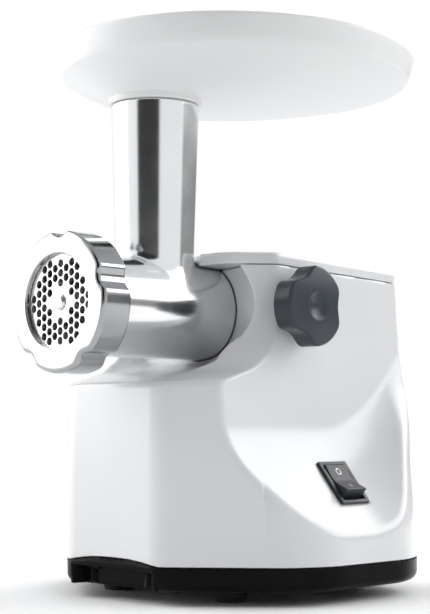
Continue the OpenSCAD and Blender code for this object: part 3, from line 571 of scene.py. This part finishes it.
def make_mat(name, c1, c2, rough, rvar, metal=0.0, cscale=60, bscale=400, bump=0.0, bdist=0.00005, stretch=(1, 1, 1), turned=None,
             spec=0.5, coat=0.0, coat_rough=0.05, aniso=0.0, sss=0.0, ior=1.5, detail=3.0, hollow_painted_shade=0.0):
    m = bpy.data.materials.new(name); m.use_nodes = True
    nt = m.node_tree; nt.nodes.clear()
    out = N(nt, "ShaderNodeOutputMaterial", (700, 0))
    bs = N(nt, "ShaderNodeBsdfPrincipled", (400, 0))
    nt.links.new(bs.outputs[0], out.inputs[0])
    bs.inputs["Metallic"].default_value = metal
    bs.inputs["Specular IOR Level"].default_value = spec
    bs.inputs["Coat Weight"].default_value = coat
    bs.inputs["Coat Roughness"].default_value = coat_rough
    bs.inputs["IOR"].default_value = ior
    bs.inputs["Anisotropic"].default_value = aniso
    if sss > 0:
        bs.inputs["Subsurface Weight"].default_value = sss
        bs.inputs["Subsurface Radius"].default_value = (0.002, 0.002, 0.002)
        bs.inputs["Subsurface Scale"].default_value = 1.0
    tc = N(nt, "ShaderNodeTexCoord", (-1300, 0))
    vec = tc.outputs["Object"]
    if turned is not None:
        # rings about an axis through (y, z) or (x, y) of the part, as a lathe leaves them
        ax, c0, c1_ = turned
        sep = N(nt, "ShaderNodeSeparateXYZ", (-1120, 0)); nt.links.new(vec, sep.inputs[0])
        ia, ib, ic = {"y": (0, 2, 1), "x": (1, 2, 0), "z": (0, 1, 2)}[ax]
        da = N(nt, "ShaderNodeMath", (-960, 60), operation="SUBTRACT"); nt.links.new(sep.outputs[ia], da.inputs[0]); da.inputs[1].default_value = c0
        db = N(nt, "ShaderNodeMath", (-960, -60), operation="SUBTRACT"); nt.links.new(sep.outputs[ib], db.inputs[0]); db.inputs[1].default_value = c1_
        sa = N(nt, "ShaderNodeMath", (-820, 60), operation="MULTIPLY"); nt.links.new(da.outputs[0], sa.inputs[0]); nt.links.new(da.outputs[0], sa.inputs[1])
        sb = N(nt, "ShaderNodeMath", (-820, -60), operation="MULTIPLY"); nt.links.new(db.outputs[0], sb.inputs[0]); nt.links.new(db.outputs[0], sb.inputs[1])
        su = N(nt, "ShaderNodeMath", (-680, 0), operation="ADD"); nt.links.new(sa.outputs[0], su.inputs[0]); nt.links.new(sb.outputs[0], su.inputs[1])
        sq = N(nt, "ShaderNodeMath", (-560, 0), operation="SQRT"); nt.links.new(su.outputs[0], sq.inputs[0])
        cb = N(nt, "ShaderNodeCombineXYZ", (-440, 0)); nt.links.new(sq.outputs[0], cb.inputs[0]); nt.links.new(sep.outputs[ic], cb.inputs[1])
        fine = cb.outputs[0]
    else:
        fine = vec
    mp = N(nt, "ShaderNodeMapping", (-300, -200)); mp.inputs["Scale"].default_value = stretch
    nt.links.new(fine, mp.inputs["Vector"])
    n1 = N(nt, "ShaderNodeTexNoise", (-100, 200)); n1.inputs["Scale"].default_value = cscale; n1.inputs["Detail"].default_value = detail
    nt.links.new(vec, n1.inputs["Vector"])
    ramp = N(nt, "ShaderNodeValToRGB", (80, 200))
    ramp.color_ramp.elements[0].position = 0.32; ramp.color_ramp.elements[1].position = 0.70
    ramp.color_ramp.elements[0].color = (*c1, 1); ramp.color_ramp.elements[1].color = (*c2, 1)
    nt.links.new(n1.outputs["Fac"], ramp.inputs[0])
    nt.links.new(ramp.outputs[0], bs.inputs["Base Color"])
    # painted shade: an ambient occlusion node darkens the base colour by up to this fraction where other surfaces lie
    # within 5 cm, as in hollows and creases; no material here sets it
    if hollow_painted_shade > 0:
        ao = N(nt, "ShaderNodeAmbientOcclusion", (80, 420)); ao.samples = 8; ao.inputs["Distance"].default_value = 0.05
        mo = N(nt, "ShaderNodeMapRange", (240, 420)); mo.inputs[1].default_value = 0.25; mo.inputs[2].default_value = 0.62
        mo.inputs[3].default_value = 1 - hollow_painted_shade; mo.inputs[4].default_value = 1.0
        nt.links.new(ao.outputs["AO"], mo.inputs[0])
        vm = N(nt, "ShaderNodeVectorMath", (300, 260), operation="SCALE"); nt.links.new(ramp.outputs[0], vm.inputs[0]); nt.links.new(mo.outputs[0], vm.inputs["Scale"])
        nt.links.new(vm.outputs[0], bs.inputs["Base Color"])
    n2 = N(nt, "ShaderNodeTexNoise", (-100, -60)); n2.inputs["Scale"].default_value = bscale * 0.35; n2.inputs["Detail"].default_value = detail
    nt.links.new(mp.outputs[0], n2.inputs["Vector"])
    mr = N(nt, "ShaderNodeMapRange", (120, -60)); mr.inputs[1].default_value = 0.3; mr.inputs[2].default_value = 0.7
    mr.inputs[3].default_value = max(0.01, rough - rvar); mr.inputs[4].default_value = rough + rvar
    nt.links.new(n2.outputs["Fac"], mr.inputs[0]); nt.links.new(mr.outputs[0], bs.inputs["Roughness"])
    if bump > 0:
        n3 = N(nt, "ShaderNodeTexNoise", (-100, -320)); n3.inputs["Scale"].default_value = bscale; n3.inputs["Detail"].default_value = detail
        nt.links.new(mp.outputs[0], n3.inputs["Vector"])
        bp = N(nt, "ShaderNodeBump", (120, -320)); bp.inputs["Strength"].default_value = bump; bp.inputs["Distance"].default_value = bdist
        nt.links.new(n3.outputs["Fac"], bp.inputs["Height"]); nt.links.new(bp.outputs[0], bs.inputs["Normal"])
    return m


HZM = HZ / 1000
AX_Y = ("y", 0.0, HZM)
MATS = {
    "white_gloss": make_mat("white_gloss", (0.685, 0.69, 0.70), (0.715, 0.717, 0.725), 0.22, 0.008, cscale=7, bscale=900, coat=0.2, coat_rough=0.06),
    "white_satin": make_mat("white_satin", (0.69, 0.695, 0.70), (0.72, 0.72, 0.72), 0.34, 0.015, cscale=7, bscale=900),
    "black_plastic": make_mat("black_plastic", (0.004, 0.004, 0.0045), (0.007, 0.007, 0.008), 0.20, 0.03, cscale=30, bscale=5200, bump=0.03, spec=0.04),
    "black_rubber": make_mat("black_rubber", (0.012, 0.012, 0.012), (0.026, 0.026, 0.027), 0.72, 0.1, cscale=70, bscale=1800, bump=0.4),
    "slate_plastic": make_mat("slate_plastic", (0.040, 0.047, 0.056), (0.050, 0.058, 0.068), 0.22, 0.03, cscale=26, bscale=5200, bump=0.03, spec=0.16),
    "polished_aluminium": make_mat("polished_aluminium", (0.80, 0.81, 0.82), (0.86, 0.865, 0.87), 0.155, 0.015, metal=1.0, cscale=26, bscale=260),
    "plate_steel": make_mat("plate_steel", (0.72, 0.72, 0.73), (0.80, 0.80, 0.80), 0.36, 0.06, metal=1.0, cscale=120, bscale=2600, bump=0.18, turned=AX_Y, stretch=(1, 0.02, 1)),
    "steel": make_mat("steel", (0.58, 0.585, 0.60), (0.68, 0.685, 0.70), 0.28, 0.08, metal=1.0, cscale=90, bscale=2200, bump=0.15),
    "brass": make_mat("brass", (0.66, 0.44, 0.16), (0.76, 0.56, 0.24), 0.32, 0.08, metal=1.0, cscale=80, bscale=1800, bump=0.15),
    "copper": make_mat("copper", (0.62, 0.25, 0.10), (0.80, 0.38, 0.17), 0.34, 0.08, metal=1.0, cscale=300, bscale=1500, bump=0.8, bdist=0.0003, stretch=(1, 6, 1)),
    "iron": make_mat("iron", (0.20, 0.20, 0.21), (0.33, 0.33, 0.34), 0.46, 0.1, metal=1.0, cscale=50, bscale=1500, bump=0.9, bdist=0.0002, stretch=(0.05, 1.5, 0.05)),
    "cast_alloy": make_mat("cast_alloy", (0.44, 0.44, 0.46), (0.56, 0.56, 0.57), 0.52, 0.09, metal=1.0, cscale=45, bscale=900, bump=0.5, bdist=0.0002),
    "nylon": make_mat("nylon", (0.72, 0.69, 0.58), (0.80, 0.78, 0.68), 0.42, 0.07, cscale=35, bscale=1600, bump=0.15, sss=0.15),
    "carbon": make_mat("carbon", (0.02, 0.02, 0.021), (0.06, 0.06, 0.06), 0.6, 0.1, cscale=220, bscale=2400, bump=0.4),
    "film_case": make_mat("film_case", (0.60, 0.55, 0.30), (0.68, 0.63, 0.38), 0.36, 0.06, cscale=40, bscale=1500, bump=0.12),
}
# the nut's aluminium is a darker copy of the head's polished aluminium: painted shade standing in for the darker
# reflections on the nut
NUT = make_mat("turned_aluminium", (0.35, 0.357, 0.365), (0.40, 0.405, 0.41), 0.14, 0.02, metal=1.0, cscale=26, bscale=260)
SWITCH = make_mat("switch_plastic", (0.020, 0.022, 0.025), (0.028, 0.030, 0.034), 0.33, 0.04, cscale=40, bscale=5200, bump=0.04, spec=0.3)
# dark metal for the auger and knife: partly their own darker cast finish, partly painted shade for the shade inside
# the barrel behind the plate
AUGER_SHADED = make_mat("auger_metal_shaded", (0.16, 0.165, 0.17), (0.24, 0.245, 0.25), 0.42, 0.06, metal=1.0, cscale=60, bscale=1400, bump=0.25)
MARK = make_mat("mark_paint", (0.82, 0.82, 0.82), (0.90, 0.90, 0.90), 0.45, 0.05, cscale=200, bscale=3000, bump=0.2)

for m in frame["record"]["materials"]:
    pass
SLOT_OF = {}
for row in frame["record"].get("subparts", []):
    SLOT_OF[row["node"]] = row["material_slot"]
for n, o in frame["nodes"].items():
    mt = MATS.get(SLOT_OF.get(n, "steel"))
    # auger and knife get the dark metal, which carries painted shade from inside the barrel
    if n in ("auger", "knife"):
        mt = AUGER_SHADED
    if len(o.material_slots) == 0:
        o.data.materials.append(mt)
    for sl in o.material_slots:
        sl.material = mt

# ------------------------------------------------------------------ pieces
TRAY_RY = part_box("tray")[1].y * 500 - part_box("tray")[0].y * 500
S = 1.0

V, Q = field_mesh(housing_field, (-112, 39, 18), (112, 241, 204), 1.05 * S)
place("outer_housing", fast_mesh("outer_housing", V, Q), "root", MATS["white_gloss"], ("housing",), sharp=42)
V, Q = field_mesh(lid_field, (-80, 88, 185), (80, 241, 211), 0.8 * S)
place("lid", fast_mesh("lid", V, Q), "root", MATS["white_gloss"], ("top_cover",), sharp=42)
V, Q = field_mesh(base_field, (-112, 39, 5), (112, 241, 28), 1.0 * S)
place("base", fast_mesh("base", V, Q), "root", MATS["black_plastic"], ("base_pan",), sharp=42)
V, Q = field_mesh(head_field, (-38, 3, 132), (38, 137, 300), 0.75 * S)
place("head_casting", fast_mesh("head_casting", V, Q), "head", MATS["polished_aluminium"], ("grinder_head",), sharp=38)
V, Q = field_mesh(nut_field, (-43, -2, HZ - 43), (43, 23, HZ + 43), 0.5 * S)
place("nut", fast_mesh("nut", V, Q), "nut", NUT, ("ring_nut",), sharp=38)
V, Q = field_mesh(plate_field, (-32.5, 1.8, HZ - 32.5), (32.5, 9.4, HZ + 32.5), 0.3 * S)
place("plate", fast_mesh("plate", V, Q), "plate", MATS["plate_steel"], ("cutting_plate",), sharp=38)
V, Q = tray_mesh()
place("tray_dish", fast_mesh("tray_dish", V, Q), "tray_body", MATS["white_satin"], ("tray",), sharp=45)
V, Q = field_mesh(knob_field, (70, 99, 145), (93, 153, 200), 0.42 * S)
place("knob", fast_mesh("knob", V, Q), "clamp_knob", MATS["slate_plastic"], ("lock_knob",), sharp=38)
V, Q = field_mesh(frame_field, (60, 135, 45), (112, 165, 90), 0.3 * S)
place("switch_bezel", fast_mesh("switch_bezel", V, Q), "root", SWITCH, ("switch_frame",), sharp=38)
V, Q = field_mesh(rocker_field, (60, 138, 45), (112, 162, 90), 0.25 * S)
place("rocker_key", fast_mesh("rocker_key", V, Q), "rocker", SWITCH, ("switch_rocker",), sharp=38)


# the two switch symbols, let into the rocker
def on_rocker(p, v, q):
    """rocker axes (along, across, up) to stations"""
    a = math.radians(11)
    u = p * math.cos(a) - q * math.sin(a); n = p * math.sin(a) + q * math.cos(a) - 2.4
    return SW + SD * u + np.array([0, 1.0, 0]) * v + SN * n


def mark(name, pts, closed, width=0.32):
    verts, faces = [], []
    m = len(pts)
    for i, (p, v) in enumerate(pts):
        a = pts[(i - 1) % m] if closed or i > 0 else pts[i]
        b = pts[(i + 1) % m] if closed or i < m - 1 else pts[i]
        t = np.array([b[0] - a[0], b[1] - a[1]]); t = t / np.linalg.norm(t)
        nx = np.array([-t[1], t[0]]) * width
        for s_, lift in ((1, -0.15), (1, 0.03), (-1, 0.03), (-1, -0.15)):
            pp, vv = p + nx[0] * s_, v + nx[1] * s_
            top = 5.0 + 2.6 * min(max(abs(pp) / 10.4, 0), 1.2) ** 1.5
            w = on_rocker(pp, vv, top + lift)
            verts.append(((w[0]) / 1000, (w[1] - FY) / 1000, w[2] / 1000))
    for i in range(m if closed else m - 1):
        j = (i + 1) % m
        for k in range(4):
            l = (k + 1) % 4
            faces.append((i * 4 + k, j * 4 + k, j * 4 + l, i * 4 + l))
    if not closed:
        faces.append((3, 2, 1, 0)); e = (m - 1) * 4
        faces.append((e, e + 1, e + 2, e + 3))
    return new_obj(name, verts, faces, "rocker", mat=MARK, smooth=False)


mark("mark_off", [(-6.2 + 1.9 * math.cos(t), 1.9 * math.sin(t)) for t in np.linspace(0, 2 * math.pi, 33)[:-1]], True)
mark("mark_on", [(4.6, 0), (5.6, 0), (6.6, 0), (7.6, 0)], False)

# ------------------------------------------------------------------ stage
bpy.ops.mesh.primitive_grid_add(x_subdivisions=8, y_subdivisions=8, size=12, location=(0, 0, 0))
floor = bpy.context.object; floor.name = "floor"
floor.data.materials.append(make_mat("floor_paper", (0.95, 0.95, 0.95), (0.97, 0.97, 0.97), 0.6, 0.05, cscale=3, bscale=300, bump=0.02))

# soft studio round the object: bright at the sides and above, darker behind the camera
w = bpy.data.worlds.new("studio"); bpy.context.scene.world = w; w.use_nodes = True
nt = w.node_tree; nt.nodes.clear()
wo = N(nt, "ShaderNodeOutputWorld", (1600, 0)); bg = N(nt, "ShaderNodeBackground", (1400, 0)); nt.links.new(bg.outputs[0], wo.inputs[0])
tc = N(nt, "ShaderNodeTexCoord", (-900, 0)); sp = N(nt, "ShaderNodeSeparateXYZ", (-700, 0)); nt.links.new(tc.outputs["Generated"], sp.inputs[0])
az = N(nt, "ShaderNodeMath", (-500, 100), operation="ARCTAN2"); nt.links.new(sp.outputs[1], az.inputs[0]); nt.links.new(sp.outputs[0], az.inputs[1])
deg = N(nt, "ShaderNodeMath", (-350, 100), operation="DEGREES"); nt.links.new(az.outputs[0], deg.inputs[0])
el = N(nt, "ShaderNodeMath", (-500, -100), operation="ARCSINE"); nt.links.new(sp.outputs[2], el.inputs[0])
eld = N(nt, "ShaderNodeMath", (-350, -100), operation="DEGREES"); nt.links.new(el.outputs[0], eld.inputs[0])


def soft_band(src, a, b, soft):
    """1 between a and b, falling to 0 over soft degrees outside"""
    up = N(nt, "ShaderNodeMapRange", (0, 0), interpolation_type="SMOOTHSTEP"); nt.links.new(src, up.inputs[0])
    up.inputs[1].default_value = a - soft; up.inputs[2].default_value = a; up.inputs[3].default_value = 0; up.inputs[4].default_value = 1
    dn = N(nt, "ShaderNodeMapRange", (0, 0), interpolation_type="SMOOTHSTEP"); nt.links.new(src, dn.inputs[0])
    dn.inputs[1].default_value = b; dn.inputs[2].default_value = b + soft; dn.inputs[3].default_value = 1; dn.inputs[4].default_value = 0
    mu = N(nt, "ShaderNodeMath", (0, 0), operation="MULTIPLY"); nt.links.new(up.outputs[0], mu.inputs[0]); nt.links.new(dn.outputs[0], mu.inputs[1])
    return mu.outputs[0]


# (azimuth from, to, soft, elevation from, to, soft, brightness there)
ZONES = [(112, 181, 6, 27, 95, 4, 0.3), (38, 112, 6, -95, 9, 3, 0.27), (-124, -90, 4, -95, 60, 6, 1.0), (-181, -127, 5, -95, 60, 6, 3.6), (-31, 34, 4, -95, 60, 6, 0.9),
         (-181, 181, 1, 64, 95, 6, 0.6), (30, 112, 5, 60, 95, 5, 0.6), (36, 110, 5, 16, 41, 5, 4.3), (-88, -34, 5, -95, 62, 5, 0.03)]
BASE = 1.02
val = None
for z0, z1, zs, e0, e1, es, L in ZONES:
    a_ = soft_band(deg.outputs[0], z0, z1, zs); b_ = soft_band(eld.outputs[0], e0, e1, es)
    ma = N(nt, "ShaderNodeMath", (0, 0), operation="MULTIPLY"); nt.links.new(a_, ma.inputs[0]); nt.links.new(b_, ma.inputs[1])
    mx = N(nt, "ShaderNodeMix", (0, 0), data_type="FLOAT"); nt.links.new(ma.outputs[0], mx.inputs[0])
    if val is None: mx.inputs[2].default_value = BASE
    else: nt.links.new(val, mx.inputs[2])
    mx.inputs[3].default_value = L
    val = mx.outputs[0]
nt.links.new(val, bg.inputs["Strength"])
bg.inputs["Color"].default_value = (0.985, 0.992, 1.0, 1)

# ------------------------------------------------------------------ camera
cam = bpy.data.cameras.new("camera"); co = bpy.data.objects.new("camera", cam)
bpy.context.scene.collection.objects.link(co)
A, P = math.radians(44.5), math.radians(4.574)
fwd = Vector((-math.sin(A) * math.cos(P), math.cos(A) * math.cos(P), math.sin(P)))
right = Vector((math.cos(A), math.sin(A), 0)); up = right.cross(fwd)
from mathutils import Matrix
M = Matrix((right, up, -fwd)).transposed().to_4x4()
M.translation = Vector((0.6625, -0.6802, 0.1012))
co.matrix_world = M
cam.sensor_width = 36; cam.lens = 87.95; cam.clip_start = 0.01; cam.clip_end = 100
bpy.context.scene.camera = co
bpy.context.scene.view_settings.view_transform = "Standard"
